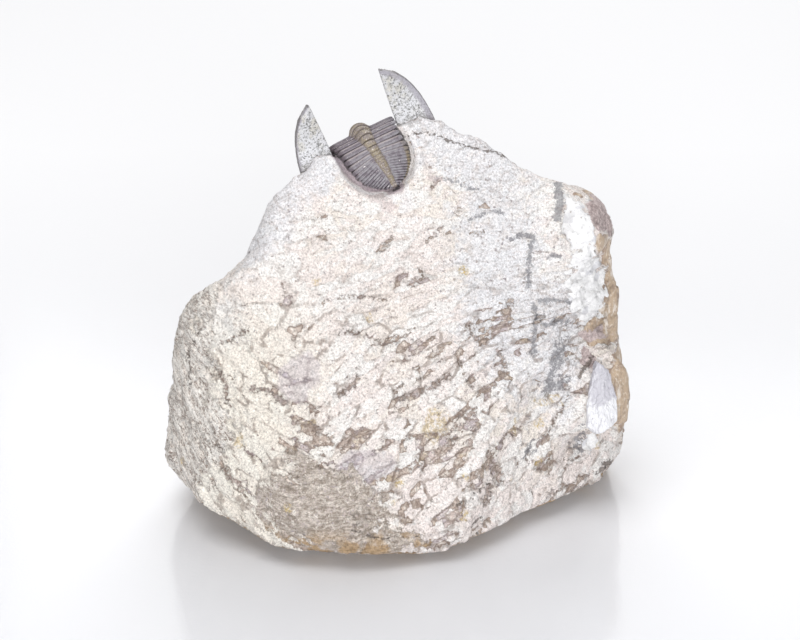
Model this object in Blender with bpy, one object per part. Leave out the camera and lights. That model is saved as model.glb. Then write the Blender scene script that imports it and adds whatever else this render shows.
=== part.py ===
# Harpetid trilobite (Lioharpes) arched over the top edge of the limestone block it was prepared from.
# Metres, +Z up. The block stands on its flat base, the thorax and tail face -Y, the head shield +Y.
#
# The animal is modelled in its own frame, which the empty "animal" holds: X to its side, +Z towards
# the tips of the head shield's two prolongations, -Y out of the underside of the shield.
import math

import bmesh
import bpy
from mathutils import Matrix, Vector, noise

# Place and attitude of the animal on the block
ANIMAL_PLACE = (-0.0066, 0.0090, 0.0653)   # before the whole is raised by LIFT
ANIMAL_YAW = math.radians(17.0)
ANIMAL_ROLL = math.radians(-21.9)
ANIMAL_PITCH = math.radians(10.5)

# Head shield, measured in its own plane
SHIELD_HALF_WIDTH = 0.0129
SHIELD_WAIST = -0.0140          # where the rounded front meets the long sides
SHIELD_FRONT_LENGTH = 0.0130
SHIELD_SIDE_LENGTH = 0.0244
SHIELD_SIDE_POWER = 3.2
SHIELD_FAN_END = -0.0200        # where the rows of its front end meet on the middle line
HORN_STEPS = 12
PROLONGATION_TIP = 0.0094
PROLONGATION_INNER = 0.00625    # half the space between the prolongations
PROLONGATION_SPLAY = 0.0004
REAR_BORDER = -0.0101           # where the shield ends and the thorax begins
BRIM_THICKNESS = 0.0009
PROLONGATION_BULGE = 0.00035
RIM_HEIGHT = 0.0005
VAULT_HEIGHT = 0.0044
VAULT_HALF_WIDTH = 0.0108
VAULT_LENGTH = 0.0126
FURROW_DEPTH = 0.0005
GLABELLA_HEIGHT = 0.0015
GLABELLA_HALF_WIDTHS = (0.0018, 0.0027)   # at its front and at its back
GLABELLA_FRONT = -0.0225
GLABELLA_BACK = -0.0110
FURROW_HALF_WIDTH = 0.0006
NECK_FURROW = -0.0117           # the furrow across the back of the glabella
EYE_PLACE = (0.0043, -0.0168)
EYE_HEIGHT = 0.0011
EYE_RADIUS = 0.0010

# Thorax: 28 segments along a path that climbs the back, bends over the crest and comes down the front
SEGMENTS = 28
BROAD_PITCH = 0.00097
FINE_PITCH = 0.00045
BROAD_SEGMENTS = 13.0           # segments of the broad pitch, then five that change to the fine one
CHANGING_SEGMENTS = 5.0
PITCH_GAP = 0.13                # share of the pitch left open between neighbours
PATH_START = (-0.0042, -0.0095)   # as (out of the shield's underside, along the prolongations)
PATH_CLIMB = 0.0060
PATH_RADIUS = 0.0032
CLIMB_ANGLE = math.radians(82.0)
DESCENT_ANGLE = math.radians(-62.0)
THORAX_HALF_WIDTH = 0.00575
THORAX_DRIFT = (-0.00015, 0.00105)   # to the side at the crest, and on from there to the tail
THORAX_NARROWING = 0.00028      # how much narrower it is where its rounded end begins
ROUND_END_START = 0.0150
ROUND_END_LENGTH = 0.0068
TIP_SWEEP = 0.0015              # how far the rear tips reach behind the middle of their segment
SHELL_THICKNESS = 0.00080
SHELL_THINNING = 0.00025        # thinner by this much at the tips
SHINGLE = 0.13                  # each segment's back edge stands this share of its length higher
TIP_GAP = 0.22                  # share of the length that is lost at each side of a tip
AXIS_STATIONS = (0.0080, 0.0150, 0.0215)      # along the path
AXIS_HALF_WIDTHS = (0.00195, 0.00085, 0.00040)
AXIS_HEIGHTS = (0.00160, 0.00075, 0.00040)
TIP_DROP_FRONT = 0.0001         # how far the tips bend down past the fulcrum, at the crest
TIP_DROP_REAR = 0.0007          # and lower down the front
FULCRUM = 0.80
TAIL_END = 0.0217
TAIL_THICKNESS = 0.00060
TAIL_STEPS = 10
POCKET_STEPS = 28
POCKET_START = -0.0010          # along the path
POCKET_END = 0.0223
POCKET_SIDE = 0.00045
POCKET_TOP = 0.0060
GROOVE_WIDTHS = (0.0008, 0.0002)   # how much wider the pocket opens on the left and on the right

SHELL_DARK = (0.13, 0.10, 0.11)
SHELL_PALE = (0.22, 0.19, 0.22)

# Block of limestone
LIFT = 0.0040                   # height of its lower front edge over the table
VOXEL = 0.0015
STONE_FACES = 4450
FINE_MIDDLE = (0.0, -0.0030, -0.0030)   # in the animal's frame, the middle of the finer triangles
FINE_RADIUS = 0.0095
CLEARANCE = 0.0003              # gap kept between the animal and the stone
FAR = 0.2


def smooth(low, high, value):
    share = min(max((value - low) / (high - low), 0.0), 1.0)
    return share * share * (3.0 - 2.0 * share)


def material(name, colour, roughness):
    made = bpy.data.materials.new(name)
    made.use_nodes = True
    shader = made.node_tree.nodes["Principled BSDF"]
    shader.inputs["Base Color"].default_value = (*colour, 1.0)
    shader.inputs["Roughness"].default_value = roughness
    shader.inputs["Metallic"].default_value = 0.0
    return made


def place(name, mesh, parent=None):
    made = bpy.data.objects.new(name, mesh)
    bpy.context.collection.objects.link(made)
    made.parent = parent
    return made


def as_mesh(name, shape):
    bmesh.ops.recalc_face_normals(shape, faces=shape.faces)
    mesh = bpy.data.meshes.new(name)
    shape.to_mesh(mesh)
    shape.free()
    return mesh


def apply(thing, modifier):
    with bpy.context.temp_override(object=thing, active_object=thing):
        bpy.ops.object.modifier_apply(modifier=modifier.name)


def boolean(thing, other, operation):
    cut = thing.modifiers.new(operation.title(), "BOOLEAN")
    cut.operation = operation
    cut.solver = "EXACT"
    cut.object = other
    bpy.context.view_layer.update()
    apply(thing, cut)
    bpy.data.objects.remove(other)


def loft(name, sections, parent):
    """A closed solid through rings of points that all have the same length."""
    shape = bmesh.new()
    rings = [[shape.verts.new(point) for point in ring] for ring in sections]
    for ring, following in zip(rings, rings[1:]):
        for k in range(len(ring)):
            n = (k + 1) % len(ring)
            shape.faces.new((ring[k], ring[n], following[n], following[k]))
    shape.faces.new(rings[0][::-1])
    shape.faces.new(rings[-1])
    return place(name, as_mesh(name, shape), parent)


# The path of the thorax, in the plane that halves the animal

def path_point(s):
    """Height out of the shield's underside, place along the prolongations, and direction, at s."""
    across, along = PATH_START
    bend = PATH_RADIUS * (CLIMB_ANGLE - DESCENT_ANGLE)
    climb = min(s, PATH_CLIMB)
    across += climb * math.cos(CLIMB_ANGLE)
    along += climb * math.sin(CLIMB_ANGLE)
    turned = min(max(s - PATH_CLIMB, 0.0), bend)
    angle = CLIMB_ANGLE - turned / PATH_RADIUS
    across += PATH_RADIUS * (math.sin(CLIMB_ANGLE) - math.sin(angle))
    along += PATH_RADIUS * (math.cos(angle) - math.cos(CLIMB_ANGLE))
    rest = max(s - PATH_CLIMB - bend, 0.0)
    return across + rest * math.cos(angle), along + rest * math.sin(angle), angle


def on_path(side, s, height):
    across, along, angle = path_point(s)
    across -= height * math.sin(angle)
    along += height * math.cos(angle)
    drift = THORAX_DRIFT[0] + THORAX_DRIFT[1] * smooth(0.0085, 0.0205, s)
    return side + drift, -across, along


def outline_half_width(s):
    """Half the width of the thorax and tail at s, over the tips."""
    half_width = THORAX_HALF_WIDTH - THORAX_NARROWING * smooth(0.008, ROUND_END_START, s)
    share = min(max(s - ROUND_END_START, 0.0) / ROUND_END_LENGTH, 0.995)
    return half_width * (1.0 - share * share) ** 0.5


def sweep(s):
    """How far back the tips reach behind the middle of their segment."""
    return TIP_SWEEP * smooth(0.0120, 0.0175, s) * (1.0 - 0.5 * smooth(0.0180, 0.0212, s))


def along_axis(values, s):
    """A size of the raised middle of the back at s."""
    start, middle, end = AXIS_STATIONS
    to_middle = (values[1] - values[0]) * smooth(start, middle, s)
    return values[0] + to_middle + (values[2] - values[1]) * smooth(middle, end, s)


def back_height(side, s, half_width):
    """Height of the back over the path, at a distance to the side."""
    axis = along_axis(AXIS_HALF_WIDTHS, s)
    distance = abs(side)
    if distance < axis:
        return along_axis(AXIS_HEIGHTS, s) * (1.0 - (distance / axis) ** 2) ** 0.6 - 0.00008
    fulcrum = max(FULCRUM * half_width, axis)
    if distance < fulcrum:
        return 0.00015 * math.sin(math.pi * (distance - axis) / max(fulcrum - axis, 1e-5))
    drop = TIP_DROP_FRONT - (TIP_DROP_FRONT - TIP_DROP_REAR) * smooth(0.0105, 0.0150, s)
    return -drop * ((distance - fulcrum) / (half_width - fulcrum)) ** 1.5


def segment_starts():
    """Where each segment starts along the path, and where the last one ends."""
    starts = [0.0]
    for k in range(SEGMENTS):
        change = smooth(BROAD_SEGMENTS, BROAD_SEGMENTS + CHANGING_SEGMENTS, k)
        starts.append(starts[-1] + BROAD_PITCH + (FINE_PITCH - BROAD_PITCH) * change)
    return starts


def edge(side, start, half_width):
    """Where the line between two segments has got to along the path, at a distance to the side."""
    return start + sweep(start) * (min(abs(side) / half_width, 1.2)) ** 1.6


def back_sides(s, half_width):
    """The distances to the side at which the back is drawn, from the left tip to the right tip."""
    axis = min(along_axis(AXIS_HALF_WIDTHS, s), 0.5 * half_width)
    half = [0.0, 0.45 * axis, 0.80 * axis, axis, FULCRUM * half_width, 0.93 * half_width, half_width]
    return [-side for side in half[:0:-1]] + half


def segment(name, start, end, parent, finish):
    middle = (start + end) / 2
    half_width = outline_half_width(middle + sweep(middle))
    fulcrum = FULCRUM * half_width
    sections = []
    for side in back_sides(middle, half_width):
        past = max(abs(side) - fulcrum, 0.0) / (half_width - fulcrum)
        front = edge(side, start, half_width)
        back = edge(side, end, half_width)
        trim = (back - front) * (PITCH_GAP / 2 + TIP_GAP * past ** 2)
        front += trim
        back -= trim
        thickness = SHELL_THICKNESS - SHELL_THINNING * past
        shingle = SHINGLE * (back - front)
        top = back_height(side, (front + back) / 2, half_width)
        sections.append((
            on_path(side, front, top - thickness),
            on_path(side, front, top - shingle),
            on_path(side, back, top + shingle),
            on_path(side, back, top - thickness),
        ))
    made = loft(name, sections, parent)
    made.data.materials.append(finish)
    return made


def pygidium(start, parent, finish):
    """The tail piece, a small rounded plate behind the last segment."""
    last = outline_half_width(start + sweep(start))
    half_width = 0.85 * last
    sections = []
    for k in range(TAIL_STEPS + 1):
        turn = (-1.0 + 2.0 * k / TAIL_STEPS) * math.pi / 2
        side = half_width * math.sin(turn)
        front = edge(side, start, last) + 0.00005
        back = max(start + (TAIL_END - start) * math.cos(turn) ** 0.6, front + 0.00010)
        top = 0.00030 * math.cos(turn) ** 2
        sections.append((
            on_path(side, front, top - TAIL_THICKNESS),
            on_path(side, front, top),
            on_path(side, (front + back) / 2, top + 0.00005),
            on_path(side, back, top - TAIL_THICKNESS / 2),
            on_path(side, back, top - TAIL_THICKNESS),
        ))
    made = loft("pygidium", sections, parent)
    made.data.materials.append(finish)
    return made


# Head shield

def outer_margin(along):
    """Half the width of the shield behind its waist."""
    share = (along - SHIELD_WAIST) / SHIELD_SIDE_LENGTH
    return SHIELD_HALF_WIDTH * (1.0 - abs(share) ** SHIELD_SIDE_POWER) ** (1.0 / SHIELD_SIDE_POWER)


def inner_margin(along):
    return PROLONGATION_INNER + PROLONGATION_SPLAY * max(along / PROLONGATION_TIP, 0.0) ** 1.3


def shield_height(side, along, share):
    """Height of the shield's outer face over its underside; share runs from 0 at the margin to 1."""
    distance = abs(side)
    height = BRIM_THICKNESS + RIM_HEIGHT * math.exp(-((share - 0.05) / 0.06) ** 2)
    reach = math.hypot(distance / VAULT_HALF_WIDTH, min(along + 0.0110, 0.0) / VAULT_LENGTH)
    if reach < 1.0:
        height += VAULT_HEIGHT * (1.0 - reach ** 2) ** 2 * (1.0 - smooth(-0.0085, 0.0, along))
    if along > 0.5 * REAR_BORDER:
        return height
    narrow, wide = GLABELLA_HALF_WIDTHS
    taper = narrow + (wide - narrow) * smooth(-0.0200, GLABELLA_BACK, along)
    glabella = 1.0 / (1.0 + (distance / taper) ** 5) * smooth(GLABELLA_FRONT, -0.0180, along)
    furrow = math.exp(-((distance - taper) / FURROW_HALF_WIDTH - 1.0) ** 2) * smooth(-0.0215, -0.0180, along)
    ring = math.exp(-((along - NECK_FURROW) / FURROW_HALF_WIDTH) ** 2) * glabella
    height += GLABELLA_HEIGHT * glabella - FURROW_DEPTH * (furrow + ring)
    away = math.hypot(distance - EYE_PLACE[0], along - EYE_PLACE[1])
    return height + EYE_HEIGHT * math.exp(-(away / EYE_RADIUS) ** 4)


def shield_rows(clearance=0.0):
    """Pairs of margin point and inner point, for half the shield, from the tip round to the front."""
    rows = []
    tip = PROLONGATION_TIP + clearance
    for k in range(HORN_STEPS + 1):
        along = tip + (REAR_BORDER - tip) * (1.0 - (1.0 - k / HORN_STEPS) ** 1.3)
        outer = outer_margin(min(along, PROLONGATION_TIP)) + clearance
        inner = inner_margin(along) - clearance
        rows.append(((max(outer, inner + 0.00015), along), (inner, along)))
    corner = PROLONGATION_INNER - clearance
    steps = 20
    for k in range(1, steps + 1):
        turn = k / steps
        if turn < 0.22:
            along = REAR_BORDER + (SHIELD_WAIST - REAR_BORDER) * turn / 0.22
            outer = (outer_margin(along) + clearance, along)
        else:
            angle = (turn - 0.22) / 0.78 * math.pi / 2
            outer = ((SHIELD_HALF_WIDTH + clearance) * math.cos(angle),
                     SHIELD_WAIST - (SHIELD_FRONT_LENGTH + clearance) * math.sin(angle))
        border = REAR_BORDER + clearance
        if turn < 0.36:
            inner = (corner * (1.0 - turn / 0.36), border)
        else:
            inner = (0.0, border + (SHIELD_FAN_END - border) * (turn - 0.36) / 0.64)
        rows.append((outer, inner))
    return rows


def shield_grid(shape, mirror, shares, under_shares):
    """Half of the shield's outer face and underside as rows of vertices."""
    grid = []
    for outer, inner in shield_rows():
        top, under = [], []
        for share in shares:
            side = outer[0] + (inner[0] - outer[0]) * share
            along = outer[1] + (inner[1] - outer[1]) * share
            edge_drop = 0.0003 if share == 0.0 else 0.0
            top.append(shape.verts.new((mirror * side, shield_height(side, along, share) - edge_drop, along)))
        for share in under_shares:
            side = outer[0] + (inner[0] - outer[0]) * share
            along = outer[1] + (inner[1] - outer[1]) * share
            bulge = PROLONGATION_BULGE * math.sin(math.pi * share) * smooth(-0.010, -0.002, along)
            under.append(shape.verts.new((mirror * side, -bulge, along)))
        grid.append((top, under))
    return grid


def strips(shape, row, following):
    for k in range(len(row) - 1):
        shape.faces.new((row[k], row[k + 1], following[k + 1], following[k]))


def head_shield(parent, finish):
    shape = bmesh.new()
    shares = (0.0, 0.04, 0.10, 0.20, 0.32, 0.44, 0.55, 0.65, 0.74, 0.82, 0.90, 1.0)
    for mirror in (1.0, -1.0):
        grid = shield_grid(shape, mirror, shares, (0.0, 0.5, 1.0))
        for (top, under), (next_top, next_under) in zip(grid, grid[1:]):
            strips(shape, top, next_top)
            strips(shape, under, next_under)
            strips(shape, (top[0], under[0]), (next_top[0], next_under[0]))
            if abs(top[-1].co.x) > 1e-6 or abs(next_top[-1].co.x) > 1e-6:
                strips(shape, (top[-1], under[-1]), (next_top[-1], next_under[-1]))
        top, under = grid[0]
        shape.faces.new(top + under[::-1])
    bmesh.ops.remove_doubles(shape, verts=shape.verts, dist=1e-6)
    halved = bmesh.ops.triangulate(shape, faces=shape.faces, quad_method="SHORT_EDGE")
    bmesh.ops.beautify_fill(shape, faces=shape.faces, edges=halved["edges"], method="ANGLE")
    made = place("cephalon", as_mesh("cephalon", shape), parent)
    made.data.materials.append(finish)
    return made


# Block of limestone

def facets(*planes):
    """A convex block: a cube cut by fracture planes, each a point on it and its outward direction."""
    shape = bmesh.new()
    bmesh.ops.create_cube(shape, size=FAR)
    for point, outward in planes:
        result = bmesh.ops.bisect_plane(
            shape, geom=shape.verts[:] + shape.edges[:] + shape.faces[:],
            plane_co=point, plane_no=Vector(outward).normalized(), clear_outer=True)
        cut = [part for part in result["geom_cut"] if isinstance(part, bmesh.types.BMEdge)]
        bmesh.ops.edgenet_fill(shape, edges=cut)
    return shape


def fracture_blocks(parent):
    """The convex blocks that make up the stone, each bounded by its own fracture planes."""
    underside_out = -parent.matrix_world.to_3x3().col[1]
    seat = (parent.matrix_world @ Vector((0.0, 0.0003, -0.018)), -underside_out)
    face = ((-0.0019, 0.0046, 0.0557), (0.17, -0.886, 0.43))
    belly = ((0.0050, -0.0234, 0.0040), (-0.08, -0.99, 0.10))
    front_left = ((-0.0270, -0.0165, 0.0080), (-0.45, -0.85, 0.25))
    left = ((-0.0407, -0.0010, 0.0140), (-0.90, -0.43, 0.12))
    left_rear = ((-0.0407, 0.0030, 0.0140), (-0.90, 0.42, 0.10))
    right_front = ((0.0220, -0.0090, 0.0), (0.62, -0.72, 0.12))
    right = ((0.0418, 0.0060, 0.0160), (0.98, -0.10, 0.04))
    right_rear = ((0.0400, 0.0140, 0.0100), (0.80, 0.60, 0.08))
    rear = ((0.0, 0.0199, 0.0120), (-0.03, 0.99, 0.12))
    left_bevel = ((-0.0358, -0.0005, 0.0365), (-0.88, -0.15, 0.43))
    left_undercut = ((-0.0270, -0.0180, 0.0012), (-0.36, -0.20, -0.91))
    undercut = ((0.0050, -0.0226, -0.0004), (-0.04, -0.42, -0.90))
    right_undercut = ((0.0220, -0.0095, 0.0000), (0.30, -0.35, -0.89))
    left_foot = ((-0.0392, -0.0030, 0.0045), (-0.88, -0.35, -0.33))
    right_foot_edge = ((0.0400, 0.0070, 0.0040), (0.85, -0.30, -0.45))
    below = ((0.0, 0.0, -2 * LIFT), (0.0, 0.0, -1.0))
    sides = (face, belly, front_left, left, left_rear, right_front, right, right_rear, rear,
             left_undercut, undercut, right_undercut, left_foot, right_foot_edge, below)
    body = facets(
        *sides, seat,
        ((0.0, 0.0192, 0.0150), (0.02, 0.99, 0.12)),
        ((0.0180, 0.0205, 0.0300), (0.30, 0.94, 0.16)),
        ((0.0400, 0.0080, 0.0400), (0.96, -0.10, 0.20)),
        ((0.0228, 0.0080, 0.0592), (0.47, 0.0, 0.88)),
        ((0.0368, 0.0080, 0.0528), (0.80, 0.0, 0.60)),
        ((-0.0236, 0.0060, 0.0545), (-0.82, -0.30, 0.49)),
    )
    left_bulge = facets(
        *sides,
        ((-0.0342, 0.0030, 0.0385), (-0.45, 0.40, 0.80)),
        left_bevel,
        ((-0.0360, 0.0070, 0.0250), (-0.70, 0.68, 0.20)),
        ((-0.0050, 0.0, 0.0200), (1.0, 0.0, 0.0)),
    )
    right_foot = facets(
        *sides,
        ((0.0385, 0.0060, 0.0330), (0.55, -0.10, 0.83)),
        ((0.0100, 0.0080, 0.0100), (-1.0, 0.0, 0.0)),
    )
    back_ledge = facets(
        *sides,
        left_bevel,
        ((-0.0050, 0.0200, 0.0235), (-0.12, 0.35, 0.93)),
        ((-0.0320, 0.0140, 0.0100), (-0.75, 0.65, 0.12)),
        ((0.0290, 0.0190, 0.0150), (0.55, 0.80, 0.20)),
    )
    calcite_chunk = facets(
        ((0.0385, -0.0020, 0.0190), (0.80, -0.58, 0.10)),
        ((0.0350, -0.0030, 0.0245), (0.15, -0.30, 0.94)),
        ((0.0350, -0.0060, 0.0190), (-0.35, -0.93, 0.10)),
        ((0.0360, 0.0, 0.0125), (0.10, -0.40, -0.91)),
        ((0.0300, 0.0060, 0.0190), (-0.80, 0.60, 0.0)),
        ((0.0390, 0.0040, 0.0190), (0.55, 0.83, 0.05)),
    )
    red_lump = facets(
        ((0.0376, 0.0090, 0.0470), (0.90, -0.20, 0.38)),
        ((0.0350, 0.0090, 0.0516), (0.35, -0.10, 0.93)),
        ((0.0360, 0.0035, 0.0470), (0.25, -0.96, 0.05)),
        ((0.0370, 0.0090, 0.0435), (0.40, -0.20, -0.89)),
        ((0.0360, 0.0150, 0.0470), (0.30, 0.95, 0.0)),
        ((0.0290, 0.0090, 0.0470), (-1.0, 0.0, 0.0)),
    )
    return body, left_bulge, right_foot, back_ledge, calcite_chunk, red_lump


def relief(point, near_fossil):
    """How far the broken surface stands out at a point: broad lumps, then shell-shaped chips."""
    broad = 0.0014 * noise.noise(point * 75.0) + 0.0007 * noise.noise(point * 160.0 + Vector((7, 3, 1)))
    stretched = Vector((point.x * 130.0, point.y * 130.0, point.z * 210.0))
    nearest = noise.voronoi(stretched)[0][0]
    return (broad + 0.0015 * (0.45 - nearest)) * smooth(-LIFT, 0.006, point.z) * (1.0 - 0.7 * near_fossil)


def thorax_pocket(parent):
    """Everything over the thorax, and the shell's own thickness with its clearance under it."""
    sections = []
    below = SHELL_THICKNESS + CLEARANCE
    for k in range(POCKET_STEPS + 1):
        s = POCKET_START + (POCKET_END - POCKET_START) * k / POCKET_STEPS
        half_width = max(outline_half_width(max(s - 0.0004, 0.0)), 0.0007)
        floor = [on_path(side, s, back_height(side, s, half_width) - below) for side in back_sides(s, half_width)]
        tip = back_height(half_width, s, half_width) - below
        wall = half_width + POCKET_SIDE
        open_side = (PROLONGATION_INNER + CLEARANCE) * (1.0 - smooth(0.0100, 0.0125, s))
        left, right = (max(wall + CLEARANCE + groove * smooth(0.0125, 0.0150, s), open_side)
                       for groove in GROOVE_WIDTHS)
        spread = 0.0020 * smooth(0.0100, 0.0140, s)
        sections.append((
            on_path(-wall, s, tip), *floor, on_path(wall, s, tip),
            on_path(right, s, CLEARANCE), on_path(right + spread, s, POCKET_TOP),
            on_path(-left - spread, s, POCKET_TOP), on_path(-left, s, CLEARANCE),
        ))
    return loft("thorax pocket", sections, parent)


def shield_pocket(parent):
    """The room of the head shield, with its clearance, open to the back."""
    rows = shield_rows(CLEARANCE)
    half = [inner for outer, inner in rows[:HORN_STEPS + 1]][::-1] + [outer for outer, inner in rows]
    outline = half[:-1] + [(-side, along) for side, along in reversed(half)]
    levels = (-PROLONGATION_BULGE - CLEARANCE, 0.0180)
    return loft("shield pocket", [[(x, level, z) for x, z in outline] for level in levels], parent)


def remesh(made):
    skin = made.modifiers.new("Remesh", "REMESH")
    skin.mode = "VOXEL"
    skin.voxel_size = VOXEL
    apply(made, skin)


def thin_out(made, parent):
    """Fewer, larger triangles, except beside the thorax."""
    away = made.vertex_groups.new(name="away from the thorax")
    middle = parent.matrix_world @ Vector(FINE_MIDDLE)
    for vertex in made.data.vertices:
        distance = (vertex.co - middle).length
        away.add([vertex.index], 0.02 + 0.98 * smooth(FINE_RADIUS, 1.5 * FINE_RADIUS, distance), "REPLACE")
    thin = made.modifiers.new("Decimate", "DECIMATE")
    thin.vertex_group = away.name
    thin.vertex_group_factor = 1.0
    thin.ratio = STONE_FACES / len(made.data.polygons) / 2
    apply(made, thin)


def limestone(parent, finish):
    shape = bmesh.new()
    for block in fracture_blocks(parent):
        part_mesh = as_mesh("block", block)
        shape.from_mesh(part_mesh)
        bpy.data.meshes.remove(part_mesh)
    mesh = bpy.data.meshes.new("matrix")
    shape.to_mesh(mesh)
    shape.free()
    made = place("matrix", mesh)
    remesh(made)
    ease = made.modifiers.new("Smooth", "SMOOTH")
    ease.iterations = 6
    apply(made, ease)
    middle = parent.matrix_world @ Vector(FINE_MIDDLE)
    moved = []
    for vertex in made.data.vertices:
        near = 1.0 - smooth(FINE_RADIUS, 1.5 * FINE_RADIUS, (vertex.co - middle).length)
        moved.append(vertex.co + vertex.normal * relief(vertex.co, near))
    for vertex, co in zip(made.data.vertices, moved):
        vertex.co = co
    remesh(made)
    thin_out(made, parent)
    boolean(made, ground(), "DIFFERENCE")
    boolean(made, pedestal(parent), "UNION")
    boolean(made, thorax_pocket(parent), "DIFFERENCE")
    boolean(made, shield_pocket(parent), "DIFFERENCE")
    made.data.materials.clear()
    made.data.materials.append(finish)
    return made


def ground():
    """A slab under the block, which cuts its base flat."""
    shape = bmesh.new()
    bmesh.ops.create_cube(shape, size=FAR, matrix=Matrix.Translation((0.0, 0.0, -FAR / 2 - LIFT)))
    return place("ground", as_mesh("ground", shape))


def pedestal(parent):
    """The stone left standing under the arched thorax."""
    shape = facets(
        ((0.0056, 0.0, 0.0), (1.0, 0.0, 0.0)),
        ((-0.0056, 0.0, 0.0), (-1.0, 0.0, 0.0)),
        ((0.0, 0.0, 0.0030), (0.0, 0.0, 1.0)),
        ((0.0, 0.0, -0.0180), (0.0, 0.0, -1.0)),
        ((0.0, 0.0060, 0.0), (0.0, 1.0, 0.0)),
        ((0.0, -0.0018, -0.0029), (0.0, -0.883, 0.469)),
    )
    return place("pedestal", as_mesh("pedestal", shape), parent)


def build():
    for thing in list(bpy.data.objects):
        bpy.data.objects.remove(thing)
    animal = place("animal", None)
    animal.location = ANIMAL_PLACE
    turn = (Matrix.Rotation(ANIMAL_YAW, 4, "Z") @ Matrix.Rotation(ANIMAL_ROLL, 4, "Y")
            @ Matrix.Rotation(ANIMAL_PITCH, 4, "X"))
    animal.rotation_euler = turn.to_euler()
    bpy.context.view_layer.update()
    starts = segment_starts()
    for k in range(SEGMENTS):
        paler = smooth(BROAD_SEGMENTS - 3, SEGMENTS, k)
        colour = [dark + (pale - dark) * paler for dark, pale in zip(SHELL_DARK, SHELL_PALE)]
        finish = material(f"shell of segment {k + 1}", colour, 0.45)
        segment(f"thoracic_segment_{k + 1:02d}", starts[k], starts[k + 1], animal, finish)
    pygidium(starts[-1], animal, material("shell of the tail", SHELL_PALE, 0.45))
    head_shield(animal, material("head shield", (0.30, 0.28, 0.26), 0.5))
    stone = limestone(animal, material("cream limestone", (0.80, 0.74, 0.68), 0.8))
    stone.data.transform(Matrix.Translation((0.0, 0.0, LIFT)))
    animal.location.z += LIFT
    bpy.context.view_layer.update()


build()
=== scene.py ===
# A trilobite arched over the top of the limestone block it was prepared from, on a white table.
import math
from types import SimpleNamespace

import bpy
import numpy as np
from mathutils import Matrix, Vector, noise
from mathutils.bvhtree import BVHTree


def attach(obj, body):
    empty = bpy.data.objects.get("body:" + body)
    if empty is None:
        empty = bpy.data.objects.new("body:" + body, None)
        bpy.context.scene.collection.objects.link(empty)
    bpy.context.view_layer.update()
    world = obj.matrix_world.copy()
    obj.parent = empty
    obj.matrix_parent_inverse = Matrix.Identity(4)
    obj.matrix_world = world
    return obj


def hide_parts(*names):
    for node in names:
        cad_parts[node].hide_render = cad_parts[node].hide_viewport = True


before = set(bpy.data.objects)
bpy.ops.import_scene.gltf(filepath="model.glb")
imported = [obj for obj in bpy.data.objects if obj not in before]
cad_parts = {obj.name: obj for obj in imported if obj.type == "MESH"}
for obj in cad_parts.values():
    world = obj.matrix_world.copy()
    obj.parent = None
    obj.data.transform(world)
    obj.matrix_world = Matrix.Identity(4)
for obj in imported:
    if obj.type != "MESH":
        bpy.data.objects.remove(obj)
noise.seed_set(11)  # without a seed the outlines of the patches would differ at each run
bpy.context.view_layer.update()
print("loaded", len(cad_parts), "nodes")

# the photograph's camera, which also places the marks on the stone
shot = {"target": (0.0, 0.0, 0.0377), "distance": 0.3864, "elevation": math.radians(25), "lens": 100}
viewUp = Vector((0.0, math.sin(shot["elevation"]), math.cos(shot["elevation"])))
viewOut = Vector((0.0, -math.cos(shot["elevation"]), math.sin(shot["elevation"])))  # towards the camera

# where the animal sits: X to its side, +Z towards the tips, -Y out of the shield's underside
animal = {"place": (-0.0066, 0.0090, 0.0693), "yaw": 17.0, "roll": -21.9, "pitch": 10.5}

# the look of the limestone, lengths in millimetres
limestone = {
    "voxel": 0.00045,
    "smoothing": 10,
    "gripReach": 0.0009,
    # chips per millimetre along their length, depth and height, and how far they tilt and stand out
    "longChips": (0.125, 0.28, 0.36), "longTilt": 0.85, "longStep": 0.55,
    "smallChips": (0.40, 0.60, 0.78), "smallTilt": 0.42, "smallStep": 0.22,
    "recessDepth": 0.42, "strata": (0.24, 0.9, 2.4), "strataDepth": 0.40, "leftDepth": 0.9,
    "calciteDepth": 0.6, "unevenness": 0.28, "grain": 2.9, "speck": 1.4,
    # colours
    # purple painted shade for the groove round the thorax
    "grooveShade": (0.45, 0.36, 0.41),
    "grooveRim": (0.90, 0.87, 0.87),
    # near black painted shade for the gap beside the thorax
    "creviceShade": (0.05, 0.045, 0.05),
    "cream": (0.88, 0.815, 0.75),
    "pink": (0.88, 0.80, 0.77),
    "warmCream": (0.88, 0.83, 0.72),
    "white": (0.92, 0.90, 0.88),
    "coolWhite": (0.80, 0.80, 0.83),
    "recess": (0.57, 0.475, 0.415),
    "recessPink": (0.66, 0.56, 0.55),
    "lilac": (0.56, 0.50, 0.54),
    # dark brown for dark specks and lines, and for painted shade along the edges of the chips
    "edge": (0.27, 0.205, 0.17),
    "natural": (0.64, 0.57, 0.51),
    "naturalDark": (0.34, 0.285, 0.24),
    "rust": (0.46, 0.30, 0.15),
    "leftStone": (0.88, 0.84, 0.79),
    "leftDark": (0.44, 0.40, 0.365),
    "streak": (0.20, 0.20, 0.22),
    "calcite": (0.95, 0.945, 0.95),
    "honey": (0.56, 0.43, 0.31),
    "honeyDark": (0.36, 0.26, 0.20),
    "honeyPale": (0.86, 0.79, 0.72),
    "lump": (0.45, 0.36, 0.35),
    "ochre": (0.55, 0.42, 0.20),
    "crack": (0.16, 0.13, 0.11),
}

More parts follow.
